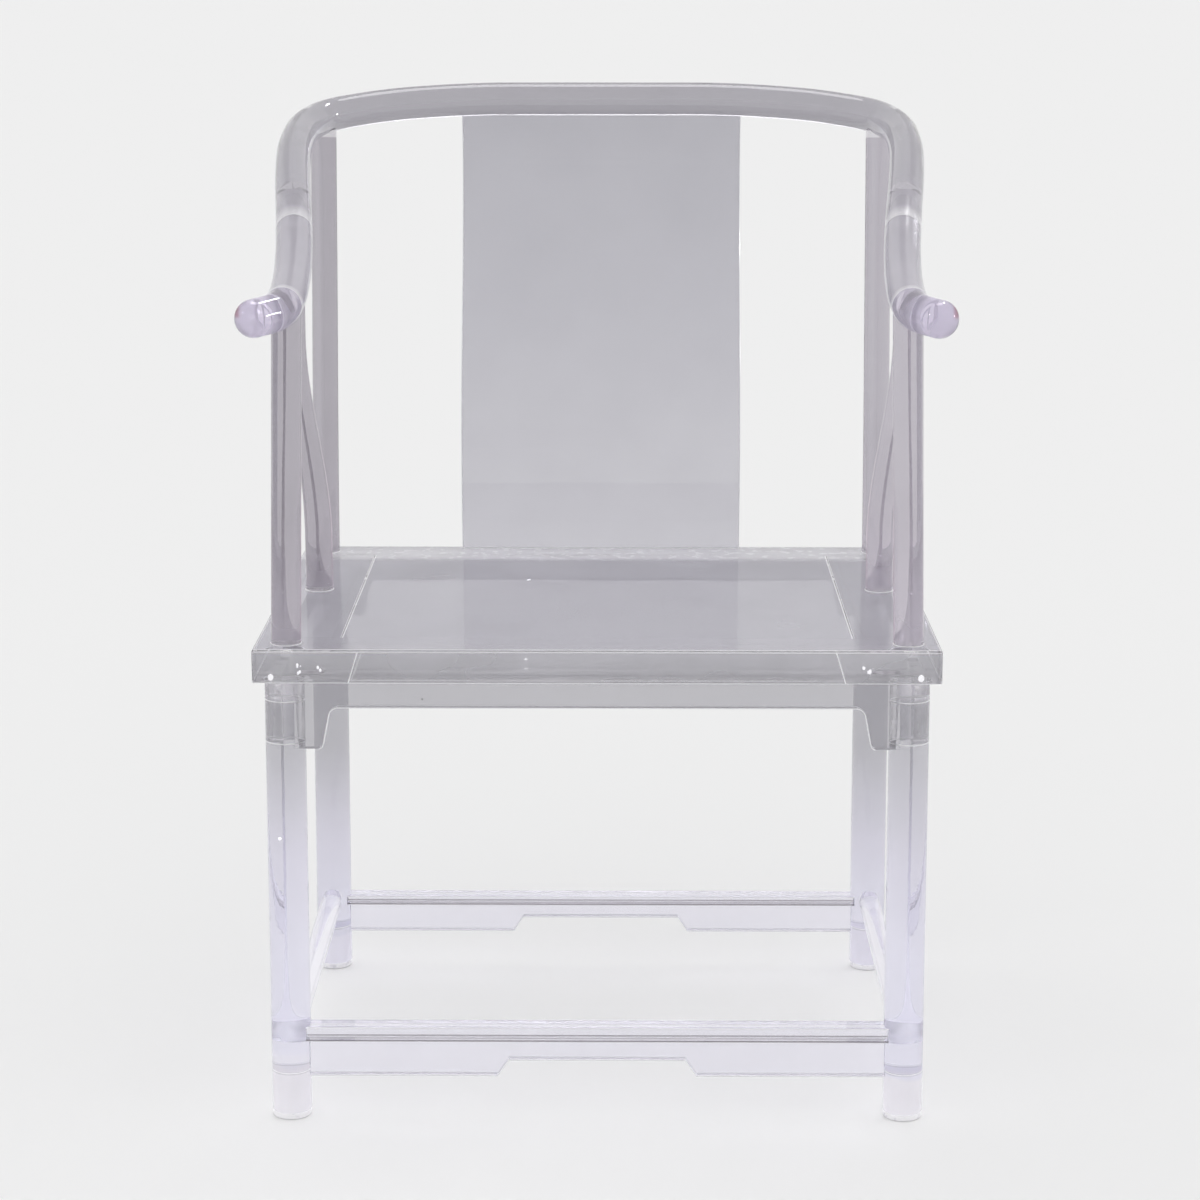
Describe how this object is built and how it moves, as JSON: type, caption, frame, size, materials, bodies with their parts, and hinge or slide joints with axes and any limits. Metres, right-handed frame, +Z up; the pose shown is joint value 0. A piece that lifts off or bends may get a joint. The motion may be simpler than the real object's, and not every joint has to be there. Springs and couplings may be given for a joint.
{
  "type": "horseshoe back armchair",
  "caption": "Horseshoe-back armchair of clear acrylic with a bent round crest rail and arms, curved flat splat, framed square seat, round legs, eared aprons and stretchers.",
  "frame": {"origin": "middle of the chair's overall footprint, on the floor", "axes": "+Z up, +Y towards the back of the chair, +X to the right of someone who looks at its front"},
  "size_m": [0.6566, 0.6102, 0.9614],
  "materials": {
    "clear_acrylic": "polished clear cast acrylic, transparent",
    "white_glide": "moulded nylon"
  },
  "bodies": {
    "root": {"apron_back": "clear_acrylic", "apron_front": "clear_acrylic", "apron_left": "clear_acrylic", "apron_right": "clear_acrylic", "arm_rail_left": "clear_acrylic", "arm_rail_right": "clear_acrylic", "back_leg_left": "clear_acrylic", "back_leg_right": "clear_acrylic", "back_post_left": "clear_acrylic", "back_post_right": "clear_acrylic", "back_splat": "clear_acrylic", "back_stretcher_bar": "clear_acrylic", "back_stretcher_strip": "clear_acrylic", "crest_rail": "clear_acrylic", "foot_pad_back_left": "white_glide", "foot_pad_back_right": "white_glide", "foot_pad_front_left": "white_glide", "foot_pad_front_right": "white_glide", "front_leg_left": "clear_acrylic", "front_leg_right": "clear_acrylic", "front_post_left": "clear_acrylic", "front_post_right": "clear_acrylic", "front_stretcher_bar": "clear_acrylic", "front_stretcher_strip": "clear_acrylic", "grip_left": "clear_acrylic", "grip_right": "clear_acrylic", "seat_back_rail": "clear_acrylic", "seat_front_rail": "clear_acrylic", "seat_panel": "clear_acrylic", "seat_side_rail_left": "clear_acrylic", "seat_side_rail_right": "clear_acrylic", "side_post_left": "clear_acrylic", "side_post_right": "clear_acrylic", "side_stretcher_left": "clear_acrylic", "side_stretcher_right": "clear_acrylic"}
  },
  "joints": []
}
